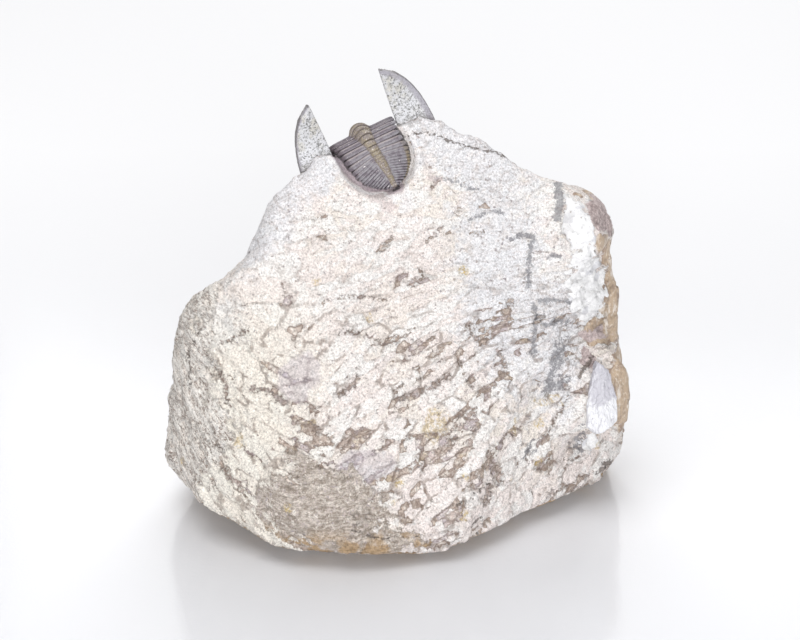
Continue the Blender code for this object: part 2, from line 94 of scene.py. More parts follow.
# Patches on the face of the stone as the camera sees it, in millimetres right of and above the middle
# of the view: (right, up, half length, half width, turn in degrees).
patches = {
    "natural": [(-14, -33, 12, 5.6, -8), (-6, -38.5, 11, 2.4, 2), (-12, -28, 8, 3, -20)],
    "recess": [(-9.5, -22.5, 8.5, 3, 5), (-16, -20.5, 5, 3.2, -25), (5.5, -22.5, 3.5, 3, 35),
        (-27, -22.5, 2.4, 2.6, -40), (17.5, 0.5, 1.6, 3, -14), (-2.5, -27, 3.4, 1.5, 10),
        (9.5, -34.5, 2.4, 1, 25), (16.3, -25.5, 1, 1.8, -25)],
    "ochreStone": [(6.2, -18.4, 2.1, 2.7, -20), (20.2, -19, 0.8, 1.7, 5), (25.6, -13.8, 2.2, 1.2, 0),
        (-15.8, -17.5, 1.1, 0.8, 30), (-5, 0.4, 0.9, 0.6, 0), (-27.5, -20.8, 1.2, 0.8, 0)],
    "lilac": [(-17.5, -10.5, 3.4, 4.6, -15), (-6, -25, 5, 2.5, 0)],
    "cool": [(-14.5, 25.5, 5, 3.5, 20), (7, 32.5, 7, 4.5, -20), (18, 7, 8.5, 20, 6), (13, 28, 12, 6, -25),
        (27, -4, 5, 14, 0), (-24, 17, 5, 12, -38), (-31.5, -1, 4, 5, -30)],
    "streak": [(26.8, 10.8, 1, 0.9, 0), (27.2, -7.5, 1.5, 4.4, -14), (26.5, -11.5, 2.8, 1.4, 20),
        (22, -22.5, 0.9, 2, -30), (20.5, 14.5, 2.6, 0.8, 20), (31, -21, 1, 2.2, -10)],
    "calcite": [(30.8, 16.5, 2.8, 4.4, 8), (32.6, 6, 3.2, 7, 4), (33, -21.5, 1.6, 1.2, 30)],
    "honey": [(37.6, 8.5, 2.2, 6.5, -8), (39.2, -11, 2.6, 8.5, -6), (34.6, -2.2, 2.6, 2.6, 0),
        (36.8, 0.8, 2.2, 4, 0), (34, 21, 3, 0.7, -34), (35.5, 13.2, 1.6, 1.6, 0)],
    "lump": [(35.4, 18.5, 3.4, 2.6, -35), (33.8, -2.4, 2.4, 1.1, 10), (32.6, -6.6, 1.4, 1.6, 40)],
    "leftStone": [(-35.8, -11.5, 3, 13, -8), (-34, 4.5, 2.6, 2.6, 30), (-33.5, -20, 4, 6.5, -12)],
    "tailPatch": [(-4.5, 22, 4, 1.5, -14), (6, 23.8, 1.8, 0.8, 0), (-1, 20, 2, 1, 0)],
}
# narrow sunken marks, grey lines and open cracks: each a line on the face and half its width
sunkMarks = [
    ([(12.1, -0.8), (13.3, -3.5)], 0.35), ([(19.3, 3.4), (18.1, -0.2), (16.9, -1.7)], 0.5),
    ([(-1.1, -14.2), (2.8, -12.7), (6.4, -11), (8.5, -9.5)], 0.38), ([(10.3, -6.8), (12.4, -11.5)], 0.22),
    ([(17.2, -5.3), (18.7, -9.1)], 0.26), ([(9.7, -18.7), (10.9, -15.7), (13.3, -15.4)], 0.24),
    ([(4, -26.2), (5.5, -24.1), (8.5, -22.6), (9.7, -20.2)], 0.5),
    ([(15.7, -23.2), (17.2, -25.9), (16.9, -28)], 0.6), ([(15.7, -28.9), (14.8, -31.9)], 0.5),
    ([(22.3, -21.7), (22, -24.7), (26.4, -25), (31.8, -23.5)], 0.13),
    ([(25.3, -20.5), (28, -15.7), (29.7, -12.7)], 0.16),
    ([(-10.4, -2.1), (-7.6, -2.1), (-3.5, -3.9), (-0.4, -3.6)], 0.32),
    ([(-10.4, -12.9), (-7, -10.4)], 0.42), ([(-26, -12), (-22.5, -12.5), (-20, -14.5)], 0.45),
    ([(-20.6, 6.3), (-20, 3.8)], 0.15), ([(-30.6, -26), (-28.1, -28.8)], 0.45),
    ([(-33, -18), (-31, -22.5)], 0.3), ([(-33.5, -6), (-30.5, -11), (-29.5, -15)], 0.28),
    ([(-31, -4), (-26.5, -1.5)], 0.2), ([(1.7, 6.3), (4, 7.8)], 0.42),
    ([(-3.8, 12.3), (-1.6, 14.1)], 0.45), ([(4.7, 13.6), (7, 15.8)], 0.26),
    ([(5.7, 23.1), (7, 24.3)], 0.36), ([(-14, 3), (-8, 4.2), (-2, 3.4)], 0.12),
    ([(26, -30.5), (30, -28.4), (33, -26.8)], 0.2)
]
greyLines = [
    ([(27.6, 23.5), (27.8, 20.5), (27.1, 18)], 0.55), ([(22.9, 14.6), (22.6, 10), (22.3, 5.4)], 0.28),
    ([(23.2, 2.6), (23.5, -0.5), (23, -6)], 0.25), ([(24.2, 3), (26.5, 3.8), (29.6, 2.9)], 0.26),
    ([(25.4, -0.8), (27, -0.2), (29.2, -0.5)], 0.24), ([(23.4, -0.5), (25.2, 1.2)], 0.16),
    ([(12, 17.5), (15.5, 19), (18, 18.6)], 0.12), ([(6, 24.8), (10, 24), (13.5, 22.6)], 0.12)
]
cracks = [
    ([(0.4, 31.8), (4.4, 32.8), (7, 31.9), (12.2, 29.9), (16.5, 29.2), (21, 27.6)], 0.06),
    ([(10.1, -32.2), (12.1, -31.3), (14.2, -29.2), (15.7, -28.6)], 0.04),
    ([(12.2, -35.8), (14.4, -34.6)], 0.12), ([(33.3, -6.4), (31.2, -10)], 0.26),
    ([(33.9, -26.4), (36.7, -24.3)], 0.26), ([(-8.5, -36.5), (-3, -38.2), (3, -37.4)], 0.03),
    ([(-34.5, -1.5), (-36.3, -6), (-36, -12)], 0.05)
]


def selectOnly(thing):
    bpy.ops.object.select_all(action="DESELECT")
    thing.select_set(True)
    bpy.context.view_layer.objects.active = thing


def applyNew(thing, kind, **settings):
    selectOnly(thing)
    modifier = thing.modifiers.new(kind.title(), kind)
    for name, value in settings.items():
        setattr(modifier, name, value)
    bpy.ops.object.modifier_apply(modifier=modifier.name)


# runs edit-mode operators, each with its settings, on all of a piece
def editAll(piece, *steps):
    selectOnly(piece)
    bpy.ops.object.mode_set(mode="EDIT")
    bpy.ops.mesh.select_all(action="SELECT")
    for operator, settings in steps:
        operator(**settings)
    bpy.ops.object.mode_set(mode="OBJECT")


# a CAD node's shape as a new piece, with its loose triangles joined
def copyOf(nodeName, pieceName):
    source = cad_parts[nodeName]
    piece = bpy.data.objects.new(pieceName, source.data.copy())
    bpy.context.collection.objects.link(piece)
    piece.data.name = pieceName
    piece.data.materials.clear()
    editAll(piece, (bpy.ops.mesh.remove_doubles, {"threshold": 0.00001}),
            (bpy.ops.mesh.customdata_custom_splitnormals_clear, {}))
    return piece


def reshape(piece, look):
    applyNew(piece, "REMESH", mode="VOXEL", voxel_size=look["voxel"])
    applyNew(piece, "SMOOTH", factor=0.5, iterations=look["smoothing"])


def standsFor(piece, nodeName):
    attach(piece, "root")
    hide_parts(nodeName)


def finishPiece(piece, material, nodeName):
    piece.data.materials.append(material)
    selectOnly(piece)
    bpy.ops.object.shade_smooth()
    standsFor(piece, nodeName)


# "co" for the points of a piece, "normal" for its normals
def readVectors(piece, field="co"):
    values = np.empty(len(piece.data.vertices) * 3)
    piece.data.vertices.foreach_get(field, values)
    return values.reshape(-1, 3)


def movePoints(piece, points):
    piece.data.vertices.foreach_set("co", points.ravel())
    piece.data.update()


def storeValues(piece, name, values):
    kind, field = ("FLOAT_VECTOR", "vector") if values.ndim == 2 else ("FLOAT", "value")
    attribute = piece.data.attributes.new(name, kind, "POINT")
    attribute.data.foreach_set(field, values.astype(np.float32).ravel())


def ramp(low, high, value):
    share = np.clip((value - low) / (high - low), 0.0, 1.0)
    return share * share * (3.0 - 2.0 * share)


# makes nodes in a shader or a geometry tree, so that shape and colour can share one pattern
class NodeMaker:
    def __init__(self, tree):
        self.tree = tree

    def add(self, kind, sockets=None, **settings):
        node = self.tree.nodes.new(kind)
        for name, value in settings.items():
            setattr(node, name, value)
        self.fill(node, sockets or {})
        return node

    def fill(self, node, sockets):
        for key, value in sockets.items():
            if isinstance(value, bpy.types.NodeSocket):
                self.tree.links.new(value, node.inputs[key])
            else:
                node.inputs[key].default_value = value

    def math(self, operation, *values):
        return self.add("ShaderNodeMath", dict(enumerate(values)), operation=operation).outputs[0]

    def times(self, first, second):
        return self.math("MULTIPLY", first, second)

    def timesPlus(self, first, second, third):
        return self.math("MULTIPLY_ADD", first, second, third)

    def less(self, first, second):
        return self.math("SUBTRACT", first, second)

    # value moved up and down by a pattern around its middle
    def frayed(self, value, pattern, reach, middle=0.5):
        return self.timesPlus(self.less(pattern, middle), reach, value)

    # 1 within inner of the middle, 0 beyond outer
    def near(self, value, middle, inner, outer):
        return self.step(self.math("ABSOLUTE", self.less(value, middle)), outer, inner)

    def vector(self, operation, *values):
        return self.add("ShaderNodeVectorMath", dict(enumerate(values)), operation=operation).outputs[0]

    def scaled(self, vector, amount):
        sockets = {"Vector": vector, "Scale": amount}
        return self.add("ShaderNodeVectorMath", sockets, operation="SCALE").outputs[0]

    def split(self, vector):
        return self.add("ShaderNodeSeparateXYZ", {0: vector}).outputs

    # a smooth step of value, 0 at low and 1 at high
    def step(self, value, low, high):
        return self.add("ShaderNodeMapRange", {"Value": value, "From Min": low, "From Max": high},
                        interpolation_type="SMOOTHSTEP").outputs[0]

    # a straight run of value from low..high to start..end
    def run(self, value, low, high, start, end):
        return self.add("ShaderNodeMapRange", {"Value": value, "From Min": low, "From Max": high,
                                               "To Min": start, "To Max": end}).outputs[0]

    def blend(self, share, first, second):
        return self.add("ShaderNodeMix", {0: share, 2: first, 3: second}).outputs[0]

    def colours(self, share, first, second, way="MIX"):
        first, second = ((*c, 1.0) if isinstance(c, tuple) else c for c in (first, second))
        return self.add("ShaderNodeMix", {0: share, 6: first, 7: second},
                        data_type="RGBA", blend_type=way).outputs[2]

    # another colour over the first, where share is 1
    def over(self, colour, share, other, amount=1.0):
        return self.colours(self.times(share, amount), colour, other)

    # a colour made lighter or darker by a tone
    def toned(self, colour, tone):
        grey = self.add("ShaderNodeCombineColor", {0: tone, 1: tone, 2: tone}).outputs[0]
        return self.colours(1.0, colour, grey, "MULTIPLY")

    # colour, roughness and a bump of this strength and distance
    def dress(self, shader, colour, roughness, height, strength, distance):
        bump = self.add("ShaderNodeBump", {"Height": height, "Strength": strength, "Distance": distance})
        self.fill(shader, {"Base Color": colour, "Roughness": roughness, "Normal": bump.outputs[0]})

    def noise(self, vector, scale, detail=3.0, roughness=0.55, output=0):
        return self.add("ShaderNodeTexNoise", {"Vector": vector, "Scale": scale, "Detail": detail,
                                               "Roughness": roughness}).outputs[output]

    def cells(self, vector, scale=1.0, feature="F1"):
        sockets = {"Vector": vector, "Scale": scale}
        return self.add("ShaderNodeTexVoronoi", sockets, feature=feature).outputs

    def attribute(self, name, vector=False):
        if self.tree.bl_idname == "ShaderNodeTree":
            node = self.add("ShaderNodeAttribute", attribute_name=name)
            return node.outputs["Vector" if vector else "Fac"]
        kind = "FLOAT_VECTOR" if vector else "FLOAT"
        node = self.add("GeometryNodeInputNamedAttribute", data_type=kind)
        node.inputs["Name"].default_value = name
        return next(output for output in node.outputs if output.enabled and output.name == "Attribute")


# moves the surface out along its normals by what the pattern gives, in millimetres
def pressPattern(piece, pattern):
    tree = bpy.data.node_groups.new(piece.name + "Relief", "GeometryNodeTree")
    tree.interface.new_socket(name="Geometry", in_out="INPUT", socket_type="NodeSocketGeometry")
    tree.interface.new_socket(name="Geometry", in_out="OUTPUT", socket_type="NodeSocketGeometry")
    maker = NodeMaker(tree)
    start = maker.add("NodeGroupInput")
    normal = maker.add("GeometryNodeInputNormal").outputs[0]
    offset = maker.scaled(normal, maker.math("MULTIPLY", pattern(maker).height, 0.001))
    moved = maker.add("GeometryNodeSetPosition", {"Geometry": start.outputs[0], "Offset": offset})
    maker.add("NodeGroupOutput", {0: moved.outputs[0]})
    applyNew(piece, "NODES", node_group=tree)


def newMaterial(name):
    material = bpy.data.materials.new(name)
    material.use_nodes = True
    tree = material.node_tree
    tree.nodes.clear()
    maker = NodeMaker(tree)
    shader = maker.add("ShaderNodeBsdfPrincipled")
    maker.add("ShaderNodeOutputMaterial", {"Surface": shader.outputs[0]})
    return material, maker, shader


# where the camera sees each point: millimetres right of and above the middle of its view
def seenFrom(points):
    away = points - np.array(shot["target"])
    scale = 1000.0 * shot["distance"] / (shot["distance"] - away @ np.array(viewOut))
    return away[:, 0] * scale, away @ np.array(viewUp) * scale


animalMatrix = (Matrix.Translation(animal["place"])
                @ Matrix.Rotation(math.radians(animal["yaw"]), 4, "Z")
                @ Matrix.Rotation(math.radians(animal["roll"]), 4, "Y")
                @ Matrix.Rotation(math.radians(animal["pitch"]), 4, "X"))


# the thorax, lengths in metres; where each part sits along its path as in the solids
thorax = {
    "segments": 28, "broadPitch": 0.00097, "finePitch": 0.00045, "broad": 13.0, "changing": 5.0,
    "pathStart": (-0.0042, -0.0095), "climb": 0.0060, "climbAngle": 82.0, "crestRadius": 0.0032,
    "descentAngle": -62.0, "pathEnd": 0.0217,
    "halfWidth": 0.00575, "narrowing": 0.00028, "taperFrom": 0.0150, "taperLength": 0.0068,
    "drift": (-0.00015, 0.00105), "tipSweep": 0.0015,
    "axisHalf": 0.00195, "axisNarrowing": (0.0011, 0.00045),
    "swell": (0.00003, 0.00011), "reach": (0.00015, 0.00045),
    "bevel": 0.00007, "furrow": 0.00006, "ridge": 0.00005, "granules": 0.00007,
    "dark": (0.09, 0.068, 0.08), "purple": (0.18, 0.153, 0.18), "lilac": (0.30, 0.285, 0.31),
    "ridgeHighlight": (0.40, 0.345, 0.345), "axisColour": (0.26, 0.215, 0.195),
    "axisGoldHighlight": (0.32, 0.265, 0.175), "axisPale": (0.47, 0.42, 0.38), "comb": (0.27, 0.22, 0.15),
    "glint": (0.85, 0.82, 0.80),
}


# distance along the path of the thorax and height over it, for points in the animal's frame
def alongPath(local):
    s = np.linspace(-0.002, 0.0235, 511)
    climbAngle, descentAngle = math.radians(thorax["climbAngle"]), math.radians(thorax["descentAngle"])
    radius, climb = thorax["crestRadius"], thorax["climb"]
    startOut, startUp = thorax["pathStart"]
    turned = np.clip(s - climb, 0.0, radius * (climbAngle - descentAngle))
    angle = climbAngle - turned / radius
    early, late = np.minimum(s, climb), np.maximum(s - climb - radius * (climbAngle - descentAngle), 0.0)
    out = (startOut + early * math.cos(climbAngle) + radius * (math.sin(climbAngle) - np.sin(angle))
           + late * np.cos(angle))
    up = (startUp + early * math.sin(climbAngle) + radius * (np.cos(angle) - math.cos(climbAngle))
          + late * np.sin(angle))
    outGap, upGap = -local[:, 1, None] - out, local[:, 2, None] - up
    nearest = np.argmin(outGap ** 2 + upGap ** 2, axis=1)
    rows = np.arange(len(local))
    outGap, upGap, slope = outGap[rows, nearest], upGap[rows, nearest], angle[nearest]
    return s[nearest], upGap * np.cos(slope) - outGap * np.sin(slope)


def thoraxHalfWidth(s):
    wide = thorax["halfWidth"] - thorax["narrowing"] * ramp(0.008, thorax["taperFrom"], s)
    share = np.clip((s - thorax["taperFrom"]) / thorax["taperLength"], 0.0, 0.995)
    return wide * (1.0 - share * share) ** 0.5


def thoraxDrift(s):
    return thorax["drift"][0] + thorax["drift"][1] * ramp(0.0085, 0.0205, s)


def tipSweep(s):
    return thorax["tipSweep"] * ramp(0.0120, 0.0175, s) * (1.0 - 0.5 * ramp(0.0180, 0.0212, s))


def segmentStarts():
    starts, broadPitch, finePitch = [0.0], thorax["broadPitch"], thorax["finePitch"]
    for k in range(thorax["segments"]):
        change = float(ramp(thorax["broad"], thorax["broad"] + thorax["changing"], k))
        starts.append(starts[-1] + broadPitch + (finePitch - broadPitch) * change)
    return starts


def inAnimal(points):
    return (points - np.array(animal["place"])) @ np.array(animalMatrix.to_3x3())


# 1 in the middle of any of the patches, 0.5 at their edge, 0 well outside
def patchField(right, up, shapes):
    field = np.zeros(len(right))
    for x, y, halfLength, halfWidth, turn in shapes:
        c, s = math.cos(math.radians(turn)), math.sin(math.radians(turn))
        along = ((right - x) * c + (up - y) * s) / halfLength
        across = ((up - y) * c - (right - x) * s) / halfWidth
        field = np.maximum(field, 1.0 - ramp(0.45, 1.55, np.hypot(along, across)))
    return field


def lineDistance(right, up, line):
    nearest = np.full(len(right), 50.0)
    for (x0, y0), (x1, y1) in zip(line, line[1:]):
        dx, dy = x1 - x0, y1 - y0
        share = np.clip(((right - x0) * dx + (up - y0) * dy) / (dx * dx + dy * dy), 0.0, 1.0)
        nearest = np.minimum(nearest, np.hypot(right - x0 - share * dx, up - y0 - share * dy))
    return nearest


# bends the outlines of the patches, in millimetres
def wander(points, scale, reach):
    places = [Vector(point) * (1000.0 * scale) for point in points]
    return np.array([noise.noise_vector(place) for place in places]) * reach


# closes the gap that the solids keep between the stone and the head shield
def gripShield(stone):
    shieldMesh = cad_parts["cephalon"].data
    tree = BVHTree.FromPolygons([vertex.co for vertex in shieldMesh.vertices],
                                [tuple(face.vertices) for face in shieldMesh.polygons])
    points = readVectors(stone)
    near = np.flatnonzero(np.abs(inAnimal(points) - np.array((0.0, 0.0, -0.009))).max(axis=1) < 0.022)
    for index in near:
        place = Vector(points[index])
        found = tree.find_nearest(place, limestone["gripReach"])
        if found[0] is not None:
            pull = 1.0 - float(ramp(0.5, 1.0, found[3] / limestone["gripReach"]))
            points[index] = place.lerp(found[0], 0.92 * pull)
    movePoints(stone, points)


def markStone(stone):
    points, normals = readVectors(stone), readVectors(stone, "normal")
    facing = ramp(0.0, 0.3, normals @ np.array(viewOut))
    right, up = seenFrom(points)
    sway = wander(points, 0.35, 1.5) + wander(points, 1.1, 0.6)
    swayRight, swayUp = right + sway[:, 0], up + sway[:, 2]
    storeValues(stone, "rest", points)
    for name, shapes in patches.items():
        field = patchField(swayRight, swayUp, shapes) * (facing if name != "honey" else 1.0)
        if name == "natural":
            low = 1.0 - ramp(0.008, 0.016, points[:, 2])
            field = np.maximum(field, (0.55 * low + 0.12) * (1.0 - facing))
        if name == "leftStone":
            side = ramp(0.45, 0.75, -normals[:, 0]) * ramp(-0.030, -0.036, points[:, 0])
            field = np.maximum(field, 0.8 * side)
        storeValues(stone, name, field)
    lineSets = {"greyDistance": greyLines, "markDistance": sunkMarks, "crackDistance": cracks}
    for name, lines in lineSets.items():
        nearest = np.full(len(points), 50.0)
        for line, halfWidth in lines:
            distance = lineDistance(right + 0.3 * sway[:, 0], up + 0.3 * sway[:, 2], line)
            nearest = np.minimum(nearest, distance - halfWidth)
        storeValues(stone, name, nearest + 5.0 * (1.0 - facing))
    local = inAnimal(points)
    aside = np.maximum(np.abs(local[:, 0]) - 0.003, 0.0)
    nearAnimal = 1.0 - ramp(0.0062, 0.0100, np.hypot(aside, local[:, 2] + 0.003))
    calm = np.maximum(nearAnimal, 0.45 * ramp(6.0, 24.0, up) * facing)
    storeValues(stone, "chipDepth", np.clip(1.0 - calm, 0.12, 1.0) * ramp(0.0002, 0.003, points[:, 2]))
    storeValues(stone, "lowerPart", 1.0 - ramp(-8.0, 14.0, up))
    # how far each point lies outside the thorax, in millimetres
    outside = np.full(len(points), 20.0)
    close = np.flatnonzero(np.linalg.norm(local - np.array((0.0, 0.0, -0.004)), axis=1) < 0.016)
    s, height = alongPath(local[close])
    half = thoraxHalfWidth(np.maximum(s, 0.0))
    beside = np.abs(local[close, 0] - thoraxDrift(s)) - half
    outside[close] = 1000.0 * np.hypot(np.maximum(beside, 0.0), np.maximum(height, 0.0))
    storeValues(stone, "offThorax", outside)
    rightSide = ramp(0.0005, 0.0030, local[:, 0]) * ramp(-0.0105, -0.0080, local[:, 2])
    storeValues(stone, "grooveSide", 1.0 - 0.9 * rightSide)


# the chips that the scribe left, their sunken places and the natural surfaces, as sockets of a tree
def chipCells(m, place, size):
    stretched = m.vector("MULTIPLY", place, size)
    cells = m.cells(stretched)
    edge = m.cells(stretched, feature="DISTANCE_TO_EDGE")[0]
    away = m.vector("SUBTRACT", stretched, cells["Position"])
    slope = m.vector("SUBTRACT", cells["Color"], (0.5, 0.5, 0.5))
    tilt = m.add("ShaderNodeVectorMath", {0: away, 1: slope}, operation="DOT_PRODUCT").outputs["Value"]
    tone, pick = m.split(cells["Color"])[:2]
    return tone, pick, tilt, edge


def swayed(m, place, scale, reach):
    return m.scaled(m.vector("SUBTRACT", m.noise(place, scale, 2.0, output=1), (0.5, 0.5, 0.5)), reach)


def stonePattern(m):
    look = limestone
    place = m.scaled(m.attribute("rest", vector=True), 1000.0)
    sides = m.split(place)
    x, z = sides[0], sides[2]
    lower, depth = m.attribute("lowerPart"), m.attribute("chipDepth")
    # the long chips lean to the right low down, and to the left at the lower left
    lean = m.times(lower, m.run(x, -40.0, -12.0, -0.9, 1.0))
    lean = m.timesPlus(lean, 0.5, 0.12)
    sockets = {"Vector": place, "Center": (0.0, -12.0, 24.0), "Angle": lean}
    turned = m.add("ShaderNodeVectorRotate", sockets, rotation_type="Y_AXIS").outputs[0]
    ragged = m.vector("ADD", turned, swayed(m, place, 1.5, 0.55))
    bent = m.vector("ADD", ragged, swayed(m, place, 0.16, 3.4))
    small = m.vector("ADD", ragged, swayed(m, place, 0.6, 1.2))
    longTone, longPick, longTilt, longEdge = chipCells(m, bent, look["longChips"])
    smallTone, smallPick, smallTilt, smallEdge = chipCells(m, small, look["smallChips"])
    fine = m.noise(place, 1.7, 4.0, 0.65)
    broken = m.less(m.noise(small, 0.55, 5.0, 0.68), 0.5)
    # sunken places: flakes that came away whole or in part, more of them low down and in the set patches
    chance = m.timesPlus(lower, 0.17, 0.07)
    chance = m.timesPlus(m.attribute("recess"), 0.34, chance)
    chance = m.less(chance, m.run(x, -34.0, -14.0, 0.10, 0.0))
    chance = m.timesPlus(broken, 0.35, chance)
    choice = m.blend(0.42, longPick, smallPick)
    recess = m.step(m.less(chance, choice), -0.008, 0.012)
    marked = m.step(m.frayed(m.attribute("markDistance"), fine, 3.6, 0.47), 0.20, -0.16)
    recess = m.math("MAXIMUM", recess, marked)
    margin = m.step(m.math("MINIMUM", m.times(longEdge, 2.0), smallEdge), 0.16, 0.03)

    # where a listed patch shows, with a ragged outline
    def shows(name, raggedness, low=0.46, high=0.54):
        return m.step(m.timesPlus(broken, raggedness, m.attribute(name)), low, high)

    natural = shows("natural", 2.3, 0.44, 0.56)
    strata = m.vector("ADD", place, swayed(m, place, 0.12, 4.0))
    strata = m.vector("ADD", strata, swayed(m, place, 0.7, 0.9))
    grooves = m.noise(m.vector("MULTIPLY", strata, look["strata"]), 1.0, 6.0, 0.79)
    leftNoise = m.noise(m.vector("MULTIPLY", turned, (0.35, 0.35, 1.0)), 1.0, 5.0, 0.72)
    leftStone = shows("leftStone", 2.2, 0.42, 0.56)
    calcite = shows("calcite", 1.9)
    honey = shows("honey", 1.3, 0.42, 0.54)
    blocks = m.cells(m.vector("MULTIPLY", place, (0.55, 0.5, 0.62)))
    # heights in millimetres
    long = m.timesPlus(longTilt, look["longTilt"], m.times(longTone, look["longStep"]))
    chips = m.times(smallTone, look["smallStep"])
    chips = m.timesPlus(smallTilt, look["smallTilt"], chips)
    chips = m.timesPlus(m.blend(lower, 0.30, 1.0), long, chips)
    chips = m.times(m.less(chips, 0.30), depth)
    calm = m.math("MAXIMUM", m.math("MAXIMUM", natural, honey), m.times(leftStone, 0.6))
    chips = m.times(chips, m.less(1.0, m.times(calm, 0.8)))
    height = m.less(chips, m.times(m.times(recess, look["recessDepth"]), depth))
    height = m.timesPlus(m.times(natural, grooves), look["strataDepth"], height)
    height = m.timesPlus(m.times(leftStone, leftNoise), look["leftDepth"], height)
    crystals = m.times(calcite, m.split(blocks["Color"])[1])
    height = m.timesPlus(crystals, look["calciteDepth"], height)
    rough = m.less(m.noise(place, 0.8, 4.0, 0.6), 0.5)
    rough = m.times(rough, m.math("ADD", depth, 0.25))
    height = m.timesPlus(rough, look["unevenness"], height)
    height = m.times(height, m.step(z, 0.1, 1.5))
    return SimpleNamespace(place=place, height=height, recess=recess, margin=margin, marked=marked,
                           natural=natural, grooves=grooves, leftStone=leftStone, leftNoise=leftNoise,
                           calcite=calcite, blocks=blocks, honey=honey, longTone=longTone,
                           longEdge=longEdge, smallTone=smallTone, smallPick=smallPick,
                           smallEdge=smallEdge, fine=fine, small=small, broken=broken, lower=lower,
                           shows=shows)


